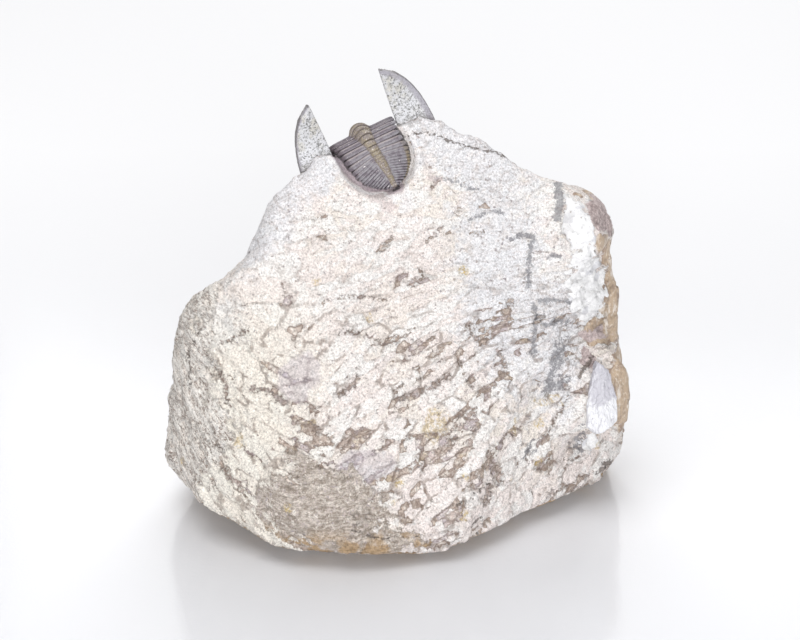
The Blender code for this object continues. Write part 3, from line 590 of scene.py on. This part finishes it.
def stoneMaterial():
    material, m, shader = newMaterial("chippedLimestone")
    look = limestone
    p = stonePattern(m)
    place, lower, shows = p.place, p.lower, p.shows
    grain = m.noise(place, look["grain"], 3.0, 0.75)
    speck = m.noise(place, look["speck"], 5.0, 0.75)
    patchy = m.noise(p.small, 0.45, 4.0, 0.65)
    warm = m.noise(place, 0.25, 3.0)

    def over(colour, share, other, amount=1.0):
        return m.over(colour, share, look[other], amount)

    colour = m.colours(m.step(m.noise(place, 0.07, 3.0), 0.35, 0.65), look["cream"], look["pink"])
    colour = over(colour, m.step(p.longTone, 0.55, 0.70), "white", 0.8)
    colour = over(colour, m.step(p.smallTone, 0.60, 0.75), "pink", 0.7)
    colour = over(colour, m.step(patchy, 0.52, 0.62), "white", 0.7)
    cool = m.step(m.timesPlus(p.broken, 2.6, m.attribute("cool")), 0.1, 1.1)
    colour = over(colour, cool, "coolWhite", 0.85)
    colour = over(colour, m.step(speck, 0.55, 0.64), "recessPink", 0.42)
    lowLeft = m.times(lower, m.step(m.split(place)[0], -6.0, -24.0))
    colour = over(colour, lowLeft, "warmCream", 0.6)
    # sunken places, and brown lines of painted shade along the edges of the chips
    sunkColour = m.colours(m.step(p.smallPick, 0.2, 0.7), look["recess"], look["recessPink"])
    sunkColour = over(sunkColour, m.step(p.smallTone, 0.62, 0.70), "lilac", 0.7)
    sunkColour = m.colours(m.step(m.attribute("lilac"), 0.3, 0.7), sunkColour, look["lilac"])
    sunkColour = over(sunkColour, m.step(m.noise(place, 0.9, 4.0, 0.7), 0.50, 0.58), "cream", 0.75)
    sunkColour = over(sunkColour, m.step(warm, 0.56, 0.66), "ochre", 0.35)
    sunkColour = over(sunkColour, m.step(speck, 0.48, 0.38), "edge", 0.75)
    sunkColour = over(sunkColour, p.marked, "recess", 0.5)
    darkMark = m.times(p.marked, m.step(speck, 0.52, 0.42))
    sunkColour = over(sunkColour, darkMark, "edge", 0.5)
    colour = m.colours(p.recess, colour, sunkColour)
    ochre = m.times(m.step(speck, 0.44, 0.56), m.step(m.attribute("ochreStone"), 0.2, 0.6))
    colour = over(colour, ochre, "ochre", 0.7)
    # painted shade: brown lines at the edges of the sunken places and, in patches, along the edges of the
    # chips, stronger low down
    edgeShadePatches = m.step(m.noise(place, 0.4, 3.0), 0.44, 0.60)
    colour = over(colour, m.times(p.margin, p.recess), "edge", 0.6)
    longEdgeShade = m.times(m.step(p.longEdge, 0.085, 0.030), edgeShadePatches)
    colour = over(colour, longEdgeShade, "edge", m.timesPlus(lower, 0.40, 0.22))
    smallEdgeShade = m.times(m.step(p.smallEdge, 0.14, 0.04), m.step(speck, 0.48, 0.60))
    colour = over(colour, smallEdgeShade, "edge", 0.40)
    lilac = m.timesPlus(p.broken, 1.2, m.attribute("lilac"))
    colour = over(colour, m.step(lilac, 0.25, 0.75), "lilac", 0.5)
    # the brown natural surface low at the front
    naturalColour = m.colours(m.step(p.grooves, 0.42, 0.56), look["naturalDark"], look["natural"])
    naturalColour = over(naturalColour, m.step(patchy, 0.48, 0.38), "naturalDark", 0.55)
    naturalColour = over(naturalColour, m.step(p.grooves, 0.57, 0.66), "cream", 0.7)
    naturalColour = over(naturalColour, m.step(speck, 0.47, 0.39), "naturalDark", 0.6)
    naturalColour = over(naturalColour, m.step(speck, 0.54, 0.62), "recessPink", 0.7)
    naturalColour = over(naturalColour, m.step(m.noise(place, 0.8, 5.0, 0.75), 0.57, 0.61), "cream", 0.8)
    rust = m.times(m.step(m.split(place)[2], 9.5, 5.0), m.step(warm, 0.40, 0.54))
    naturalColour = over(naturalColour, rust, "rust", 0.8)
    colour = m.colours(p.natural, colour, naturalColour)
    # the grey-brown break at the left
    leftLine = m.near(p.leftNoise, 0.47, 0.010, 0.050)
    leftColour = m.colours(m.step(p.leftNoise, 0.30, 0.46), look["leftDark"], look["leftStone"])
    leftColour = over(leftColour, m.step(patchy, 0.48, 0.60), "cream", 0.9)
    leftColour = over(leftColour, m.times(leftLine, m.step(speck, 0.60, 0.50)), "edge", 0.95)
    colour = m.colours(p.leftStone, colour, leftColour)
    # the grey streaks, the calcite and the lump at the right
    colour = over(colour, m.step(m.frayed(m.attribute("streak"), speck, 5.0), 0.50, 0.80), "streak", 0.75)
    greyLine = m.step(m.frayed(m.attribute("greyDistance"), speck, 3.2), 0.30, -0.05)
    colour = over(colour, greyLine, "streak", 0.7)
    blockTone = m.split(p.blocks["Color"])[0]
    calciteColour = m.colours(m.step(blockTone, 0.75, 0.95), look["calcite"], look["coolWhite"])
    calciteColour = over(calciteColour, m.step(speck, 0.56, 0.66), "streak", 0.4)
    colour = m.colours(p.calcite, colour, calciteColour)
    honey = p.honey
    bands = m.noise(m.vector("MULTIPLY", place, (1.1, 0.5, 0.16)), 1.0, 4.0, 0.6)
    bands = m.less(bands, 0.5)
    depthIn = m.timesPlus(bands, 1.6, m.attribute("honey"))
    honeyColour = m.colours(m.step(depthIn, 0.50, 0.72), look["honeyDark"], look["honey"])
    honeyColour = over(honeyColour, m.step(bands, 0.04, 0.12), "honeyPale", 0.8)
    honeyColour = over(honeyColour, m.step(bands, -0.05, -0.12), "honeyDark", 0.7)
    honeyColour = over(honeyColour, m.step(speck, 0.54, 0.62), "honeyPale", 0.6)
    honeyColour = over(honeyColour, m.step(patchy, 0.44, 0.36), "honeyDark", 0.6)
    colour = m.colours(honey, colour, honeyColour)
    lumpColour = m.colours(m.step(speck, 0.42, 0.60), look["lump"], look["recessPink"])
    colour = m.colours(shows("lump", 1.4, 0.42, 0.56), colour, lumpColour)
    # a pinker, darker patch at the tail end, ochre specks, dark specks and the crack
    tailPatch = m.step(m.frayed(m.attribute("tailPatch"), speck, 2.4), 0.35, 0.75)
    colour = over(colour, tailPatch, "recessPink", 0.6)
    spots = m.cells(place, 0.16)
    few = m.step(m.split(spots["Color"])[0], 0.72, 0.76)
    spot = m.times(m.step(spots["Distance"], 0.20, 0.10), few)
    colour = over(colour, m.times(spot, m.step(speck, 0.44, 0.58)), "ochre")
    dots = m.cells(place, 0.9)
    few = m.step(m.split(dots["Color"])[1], 0.78, 0.82)
    colour = over(colour, m.times(m.step(dots["Distance"], 0.24, 0.12), few), "edge", 0.55)
    crack = m.step(m.frayed(m.attribute("crackDistance"), p.fine, 2.0), 0.12, 0.0)
    crack = m.times(crack, m.step(m.noise(place, 0.6, 2.0), 0.34, 0.44))
    colour = over(colour, crack, "crack", 0.8)
    # the groove round the thorax, with painted shade: purple on the left and at the tail, near black next
    # to the shell
    off = m.timesPlus(p.broken, 1.6, m.attribute("offThorax"))
    purple = m.attribute("grooveSide")
    colour = over(colour, m.near(off, 1.55, 0.15, 0.45), "grooveRim", 0.8)
    colour = over(colour, m.times(m.step(off, 1.40, 0.80), purple), "grooveShade", 0.75)
    # painted shade: near black in the narrow gap beside the thorax
    colour = over(colour, m.step(off, 0.30, 0.05), "creviceShade", 0.85)
    # fine light and dark grain over all of it, weaker on the calcite
    grainTone = m.run(grain, 0.34, 0.62, 0.62, 1.13)
    grainTone = m.times(grainTone, m.run(speck, 0.35, 0.62, 0.86, 1.06))
    grainTone = m.blend(m.times(m.math("MAXIMUM", p.calcite, honey), 0.7), grainTone, 1.0)
    colour = m.toned(colour, grainTone)
    glossy = m.math("MAXIMUM", p.calcite, m.times(honey, 0.8))
    fineHeight = m.timesPlus(grain, 0.16, m.times(p.height, 0.7))
    fineHeight = m.timesPlus(speck, 0.22, fineHeight)
    fineHeight = m.less(fineHeight, m.times(crack, 0.5))
    m.dress(shader, colour, m.blend(glossy, 0.82, 0.38), fineHeight, 0.75, 0.001)
    return material


def makeStone():
    stone = copyOf("matrix", "stone")
    reshape(stone, limestone)
    gripShield(stone)
    markStone(stone)
    pressPattern(stone, stonePattern)
    points = readVectors(stone)
    points[:, 2] = np.maximum(points[:, 2], 0.0)  # nothing below the table
    movePoints(stone, points)
    finishPiece(stone, stoneMaterial(), "matrix")
    print("stone:", len(stone.data.polygons), "faces")


makeStone()

# The block of clear white calcite at the right, cut from a cube. Each cut is a point (right, up, out) in
# millimetres, "out" being towards the camera from the stone, then in degrees the turn of its outer side
# in the view and its lean away from the camera.
calciteBlock = {
    "middle": (35.0, -14.0), "size": (7.0, 14.0, 9.0), "bevel": 0.00012, "voxel": 0.00008,
    "cuts": [(35.2, -8.0, 0.0, 54, 90), (36.9, -11.2, 0.0, 15, 90), (37.7, -15.6, 0.0, 3, 90),
             (36.6, -18.5, 0.0, -53, 90), (34.8, -19.6, 0.0, -72, 90), (33.4, -19.2, 0.0, -129, 90),
             (32.6, -16.6, 0.0, 181, 90), (32.9, -12.6, 0.0, 171, 90), (33.7, -8.9, 0.0, 163, 90),
             (35.3, -14.8, 1.4, 5, 33), (35.3, -14.8, 1.4, 182, 14), (34.4, -11.0, 1.3, 80, 12),
             (34.6, -17.0, 1.6, -100, 22)],
    "clear": (0.56, 0.55, 0.60), "white": (0.78, 0.78, 0.81), "line": (0.44, 0.43, 0.47), "uneven": 0.55,
    "whiteBelow": (25.5, 24.0),
}


# steps and splinters of the broken crystal
def cleavagePattern(m):
    place = m.scaled(m.add("GeometryNodeInputPosition").outputs[0], 1000.0)
    steps = m.cells(m.vector("MULTIPLY", place, (1.3, 1.3, 0.55)))
    rough = m.noise(m.vector("MULTIPLY", place, (1.8, 1.8, 0.5)), 1.0, 3.0, 0.6)
    height = m.timesPlus(m.less(m.split(steps["Color"])[0], 0.5), 0.5,
                    m.less(rough, 0.5))
    return SimpleNamespace(height=m.times(height, calciteBlock["uneven"]))


def calciteMaterial():
    material, m, shader = newMaterial("cleavedCalcite")
    look = calciteBlock
    place = m.scaled(m.add("ShaderNodeTexCoord").outputs["Object"], 1000.0)
    streaks = m.noise(m.vector("MULTIPLY", place, (2.4, 2.4, 0.4)), 1.0, 5.0, 0.75)
    patchy = m.noise(place, 0.45, 3.0, 0.6)
    low = m.step(m.frayed(m.split(place)[2], patchy, 9.0), *look["whiteBelow"])
    colour = m.colours(low, look["clear"], look["white"])
    colour = m.over(colour, m.step(streaks, 0.47, 0.38), look["line"], 0.75)
    colour = m.over(colour, m.step(streaks, 0.56, 0.64), look["white"], 0.6)
    m.dress(shader, colour, m.run(patchy, 0.3, 0.7, 0.22, 0.50), streaks, 0.3, 0.0003)
    return material


def makeCalcite():
    look = calciteBlock
    right, up = look["middle"]
    target, rightward = Vector(shot["target"]), Vector((1.0, 0.0, 0.0))
    eye = target + viewOut * shot["distance"]
    aim = target + rightward * (0.001 * right) + viewUp * (0.001 * up)
    middle = bpy.data.objects["stone"].ray_cast(eye, (aim - eye).normalized())[1]
    shrink = 0.001 * (eye - middle).dot(viewOut) / shot["distance"]
    bpy.ops.object.select_all(action="DESELECT")
    bpy.ops.mesh.primitive_cube_add(size=1.0)
    block = bpy.context.active_object
    block.name = block.data.name = "calciteBlock"
    editAll(block, (bpy.ops.transform.resize, {"value": [0.001 * length for length in look["size"]]}))
    turned = Matrix((rightward, viewUp, viewOut)).transposed().to_4x4()
    block.data.transform(Matrix.Translation(middle) @ turned)
    for cutRight, cutUp, near, turn, lean in look["cuts"]:
        turn, lean = math.radians(turn), math.radians(lean)
        aside, above = (cutRight - right) * shrink, (cutUp - up) * shrink
        sideways = rightward * math.cos(turn) + viewUp * math.sin(turn)
        point = middle + rightward * aside + viewUp * above + viewOut * (0.001 * near)
        outer = sideways * math.sin(lean) + viewOut * math.cos(lean)
        cut = {"plane_co": point, "plane_no": outer, "use_fill": True, "clear_outer": True}
        editAll(block, (bpy.ops.mesh.bisect, cut))
    editAll(block, (bpy.ops.mesh.normals_make_consistent, {"inside": False}))
    applyNew(block, "BEVEL", width=look["bevel"], segments=2, limit_method="ANGLE",
             angle_limit=math.radians(12))
    applyNew(block, "REMESH", mode="VOXEL", voxel_size=look["voxel"])
    pressPattern(block, cleavagePattern)
    block.data.materials.append(calciteMaterial())
    selectOnly(block)
    bpy.ops.object.shade_smooth_by_angle(angle=math.radians(30))
    standsFor(block, "matrix")
    print("calcite block:", len(block.data.polygons), "faces")


makeCalcite()


def markSegment(piece, start, end):
    local = inAnimal(readVectors(piece))
    s = alongPath(local)[0]
    aside = local[:, 0] - thoraxDrift(s)
    half = thoraxHalfWidth(s)
    swept = tipSweep(start) * np.minimum(np.abs(aside) / half, 1.2) ** 1.6
    across = np.clip((s - start - swept) / (end - start), 0.0, 1.0)
    early, late = thorax["axisNarrowing"]
    axisHalf = thorax["axisHalf"] - early * ramp(0.008, 0.015, s) - late * ramp(0.015, 0.0215, s)
    storeValues(piece, "shell", local)
    storeValues(piece, "sideShare", aside / half)
    storeValues(piece, "axisShare", np.abs(aside) / axisHalf)
    storeValues(piece, "across", across)
    storeValues(piece, "tailward", np.full(len(s), (start + end) / 2 / thorax["pathEnd"]))


# a furrow along each rib, a raised ridge in front of it and fine granules
def shellPattern(m):
    place = m.scaled(m.attribute("shell", vector=True), 1000.0)
    side, axis, across = m.attribute("sideShare"), m.attribute("axisShare"), m.attribute("across")
    onPleura = m.times(m.step(axis, 0.95, 1.25), m.step(m.math("ABSOLUTE", side), 1.0, 0.85))
    furrow = m.times(m.near(across, 0.60, 0.04, 0.24), onPleura)
    ridge = m.times(m.near(across, 0.24, 0.04, 0.22), onPleura)
    height = m.times(furrow, thorax["furrow"] * -1000.0)
    height = m.timesPlus(ridge, thorax["ridge"] * 1000.0, height)
    height = m.frayed(height, m.noise(place, 7.0, 2.0), thorax["granules"] * 1000.0)
    front, rear = (1000.0 * amount for amount in thorax["swell"])
    height = m.math("ADD", height, m.run(m.attribute("tailward"), 0.5, 0.8, front, rear))
    return SimpleNamespace(place=place, height=height, furrow=furrow, ridge=ridge, side=side, axis=axis,
                           across=across)


def thoraxMaterial():
    material, m, shader = newMaterial("thoraxShell")
    look = thorax
    p = shellPattern(m)
    place, tail = p.place, m.attribute("tailward")
    mottle = m.noise(place, 1.3, 4.0, 0.65)
    fine = m.noise(place, 5.0, 3.0, 0.7)
    sideTail = m.timesPlus(p.side, 0.12, tail)
    colour = m.colours(m.step(sideTail, 0.35, 0.70), look["purple"], look["lilac"])
    colour = m.colours(m.step(mottle, 0.44, 0.62), colour, look["purple"])
    # painted highlight along the raised ridges
    colour = m.over(colour, p.ridge, look["ridgeHighlight"], 0.75)
    # painted shade in the furrows, weaker towards the tail
    furrowShade = m.times(p.furrow, m.run(tail, 0.3, 0.8, 0.70, 0.15))
    colour = m.colours(furrowShade, colour, look["dark"])
    # the axis, brown and gold in a mottle, with paler flecks
    # the gold, spread by the mottle, is painted highlight
    gold = m.colours(m.step(mottle, 0.42, 0.60), look["axisColour"], look["axisGoldHighlight"])
    gold = m.colours(m.step(fine, 0.52, 0.66), gold, look["axisPale"])
    colour = m.colours(m.times(m.step(p.axis, 1.12, 0.85), 0.9), colour, gold)
    # tips brown and gold on the right, almost black at the broad ribs on the left
    tip = m.step(p.side, 0.80, 0.90)
    colour = m.colours(m.times(tip, m.step(tail, 0.64, 0.78)), colour, look["comb"])
    leftTip = m.times(m.step(p.side, -0.78, -0.95), m.step(tail, 0.80, 0.60))
    colour = m.over(colour, leftTip, look["dark"], 0.8)
    # joints between the segments
    joint = m.step(m.math("ABSOLUTE", m.less(p.across, 0.5)), 0.40, 0.50)
    joint = m.times(joint, m.run(tail, 0.35, 0.8, 0.70, 0.10))
    colour = m.colours(joint, colour, look["dark"])
    glint = m.step(m.noise(place, 2.6, 2.0), 0.69, 0.72)
    colour = m.over(colour, glint, look["glint"], 0.8)
    colour = m.toned(colour, m.run(fine, 0.3, 0.7, 0.78, 1.16))
    m.dress(shader, colour, m.run(mottle, 0.3, 0.7, 0.34, 0.55), fine, 0.35, 0.0001)
    return material


# the ribs at the crest end against the prolongations
def stretchSegment(piece):
    points = readVectors(piece)
    local = inAnimal(points)
    s = alongPath(local)[0]
    left, right = thorax["reach"]
    atCrest = ramp(0.0030, 0.0060, s) * (1.0 - ramp(0.0112, 0.0125, s))
    onRight, onLeft = (ramp(0.0030, 0.0056, side * local[:, 0]) for side in (1.0, -1.0))
    aside = atCrest * (right * onRight - left * onLeft)
    points += aside[:, None] * np.array(animalMatrix.col[0][:3])
    movePoints(piece, points)


def refineSegment(piece):
    stretchSegment(piece)
    limits = {"face_threshold": math.radians(60), "shape_threshold": math.radians(60)}
    editAll(piece, (bpy.ops.mesh.tris_convert_to_quads, limits))
    applyNew(piece, "BEVEL", width=thorax["bevel"], segments=1, limit_method="ANGLE",
             angle_limit=math.radians(45), use_clamp_overlap=True)
    applyNew(piece, "SUBSURF", levels=2, render_levels=2)


def makeThorax():
    shell = thoraxMaterial()
    starts = segmentStarts()
    for k in range(thorax["segments"] + 1):
        isTail = k == thorax["segments"]
        nodeName = "pygidium" if isTail else f"thoracic_segment_{k + 1:02d}"
        piece = copyOf(nodeName, "tailPlate" if isTail else f"segment{k + 1:02d}")
        refineSegment(piece)
        markSegment(piece, starts[k], thorax["pathEnd"] if isTail else starts[k + 1])
        pressPattern(piece, shellPattern)
        finishPiece(piece, shell, nodeName)
    print("thorax:", thorax["segments"], "segments and the tail plate")


makeThorax()

# the head shield, lengths in metres
headShield = {
    "voxel": 0.00016, "smoothing": 8, "halfWidth": 0.0129, "middle": -0.0140, "frontReach": 0.0130,
    "backReach": 0.0244, "pitScale": 2.3, "pitDepth": 0.15, "unevenness": 0.16,
    "under": (0.63, 0.63, 0.65), "underWarm": (0.62, 0.60, 0.56), "pit": (0.17, 0.17, 0.16),
    "band": (0.36, 0.34, 0.39), "outer": (0.24, 0.215, 0.195), "outerPale": (0.36, 0.33, 0.30),
    "rim": (0.16, 0.15, 0.15),
}


def markShield(shield):
    local = inAnimal(readVectors(shield))
    normals = readVectors(shield, "normal") @ np.array(animalMatrix.to_3x3())
    storeValues(shield, "shell", local)
    storeValues(shield, "outside", ramp(-0.25, 0.45, normals[:, 1]) * ramp(0.0, 0.0005, local[:, 1]))
    half, toTips = headShield["halfWidth"], local[:, 2] - headShield["middle"]
    along = np.clip(np.abs(toTips / headShield["backReach"]), 0.0, 0.999)
    margin = half * (1.0 - along ** 3.2) ** (1.0 / 3.2) - np.abs(local[:, 0])
    front = np.hypot(local[:, 0] / half, toTips / headShield["frontReach"])
    margin = np.where(toTips > 0.0, margin, half * (1.0 - front))
    storeValues(shield, "fromMargin", margin * 1000.0)
    forward = np.hypot(local[:, 0] / 0.0132, np.minimum(local[:, 2] + 0.0110, 0.0) / 0.0150)
    storeValues(shield, "brim", 1.0 - ramp(0.75, 0.60, np.where(local[:, 2] > -0.0085, 1.0, forward)))


# pits in rows over the brim and the prolongations
def pitPattern(m):
    place = m.scaled(m.attribute("shell", vector=True), 1000.0)
    flat = m.vector("MULTIPLY", place, (1.0, 0.0, 1.0))
    pits = m.cells(flat, headShield["pitScale"])
    size = m.run(m.noise(flat, 0.45, 3.0), 0.35, 0.65, 0.02, 0.22)
    size = m.timesPlus(m.split(pits["Color"])[0], 0.22, size)
    pit = m.step(m.less(pits["Distance"], size), 0.10, -0.06)
    clear = m.step(m.math("ABSOLUTE", m.attribute("fromMargin")), 0.25, 0.6)
    pit = m.times(m.times(pit, m.attribute("brim")), clear)
    height = m.times(pit, -headShield["pitDepth"])
    height = m.frayed(height, m.noise(place, 1.6, 4.0, 0.65), headShield["unevenness"])
    return SimpleNamespace(place=place, pit=pit, height=height)


def shieldMaterial():
    material, m, shader = newMaterial("pittedShield")
    look = headShield
    p = pitPattern(m)
    place, outside = p.place, m.attribute("outside")
    fine = m.noise(place, 4.0, 3.0, 0.7)
    blotch = m.noise(place, 0.5, 3.0, 0.6)
    under = m.colours(m.step(blotch, 0.46, 0.62), look["under"], look["underWarm"])
    intoStone = m.step(m.frayed(m.split(place)[2], blotch, 8.0), 5.5, 0.0)
    under = m.over(under, intoStone, limestone["coolWhite"], 0.7)
    under = m.over(under, p.pit, look["pit"], 0.85)
    toTips = m.run(m.split(place)[2], 0.0, 9.0, 0.035, -0.01)
    specks = m.step(m.math("ADD", m.noise(place, 2.3, 4.0, 0.78), toTips), 0.53, 0.62)
    under = m.over(under, specks, look["pit"], 0.75)
    outer = m.colours(m.step(blotch, 0.42, 0.60), look["outer"], look["outerPale"])
    outer = m.over(outer, p.pit, look["rim"], 0.7)
    # the lilac band inside the margin, wider on the right
    band = m.frayed(m.attribute("fromMargin"), m.noise(place, 1.2, 4.0, 0.7), 1.6)
    bandSide = m.step(m.split(place)[0], -2.0, 2.0)
    band = m.step(band, m.blend(bandSide, 0.5, 1.5), m.blend(bandSide, 0.1, 0.7))
    under = m.over(under, band, look["band"], 0.75)
    colour = m.colours(outside, under, outer)
    rim = m.step(m.frayed(m.attribute("fromMargin"), fine, 0.5), 0.28, 0.05)
    colour = m.over(colour, rim, look["rim"], 0.8)
    colour = m.toned(colour, m.run(fine, 0.3, 0.7, 0.80, 1.12))
    m.dress(shader, colour, m.run(outside, 0.0, 1.0, 0.62, 0.42), fine, 0.4, 0.00012)
    return material


def makeShield():
    shield = copyOf("cephalon", "headShield")
    reshape(shield, headShield)
    markShield(shield)
    pressPattern(shield, pitPattern)
    finishPiece(shield, shieldMaterial(), "cephalon")
    print("head shield:", len(shield.data.polygons), "faces")


makeShield()

# table, lights and camera; each softbox is (place, size in metres, watts)
studio = {
    # the table's colour is painted light: darker near the camera, brighter towards the back
    "table": 2.0, "tableNearShade": (0.78, 0.785, 0.815), "tableFarLight": (0.965, 0.965, 0.98),
    "paintedLightRun": (-60.0, 200.0), "gloss": 0.2, "tableRoughness": 0.12,
    "sky": (1.0, 1.0, 1.0), "skyStrength": 0.438,
    "softboxes": {"overhead": ((-0.14, -0.20, 0.70), 0.40, 1.9), "front": ((0.08, -0.90, 0.12), 0.5, 7.2),
                  "back": ((0.05, 0.60, 0.60), 0.6, 3.0)},
}


def makeStudio():
    bpy.ops.object.select_all(action="DESELECT")
    bpy.ops.mesh.primitive_grid_add(x_subdivisions=8, y_subdivisions=8, size=studio["table"] * 2)
    table = bpy.context.active_object
    table.name = "table"
    material, m, shader = newMaterial("whiteGlossTable")
    place = m.scaled(m.add("ShaderNodeTexCoord").outputs["Object"], 1000.0)
    # painted light: the table brightens from the front to the back, with a little mottle
    far = m.run(m.split(place)[1], *studio["paintedLightRun"], 0.0, 1.0)
    far = m.timesPlus(m.noise(place, 0.02, 2.0), 0.1, far)
    colour = m.colours(far, studio["tableNearShade"], studio["tableFarLight"])
    shader.inputs["Specular IOR Level"].default_value = studio["gloss"]
    m.dress(shader, colour, studio["tableRoughness"], m.noise(place, 1.5, 3.0), 0.03, 0.001)
    table.data.materials.append(material)
    world = bpy.data.worlds.new("whiteRoom")
    bpy.context.scene.world = world
    world.use_nodes = True
    background = world.node_tree.nodes["Background"]
    background.inputs["Color"].default_value = (*studio["sky"], 1.0)
    background.inputs["Strength"].default_value = studio["skyStrength"]
    target = Vector(shot["target"])
    for name, (place, size, watts) in studio["softboxes"].items():
        bpy.ops.object.light_add(type="AREA", location=place)
        softbox = bpy.context.active_object
        softbox.name = name + "Softbox"
        softbox.data.size = size
        softbox.data.energy = watts
        softbox.rotation_euler = (target - softbox.location).to_track_quat("-Z", "Y").to_euler()
    bpy.ops.object.camera_add(location=target + viewOut * shot["distance"])
    camera = bpy.context.active_object
    camera.rotation_euler = viewOut.to_track_quat("Z", "Y").to_euler()
    camera.data.lens = shot["lens"]
    camera.data.clip_start = 0.01
    bpy.context.scene.camera = camera
    bpy.context.scene.view_settings.view_transform = "Standard"
    print("studio ready")


makeStudio()
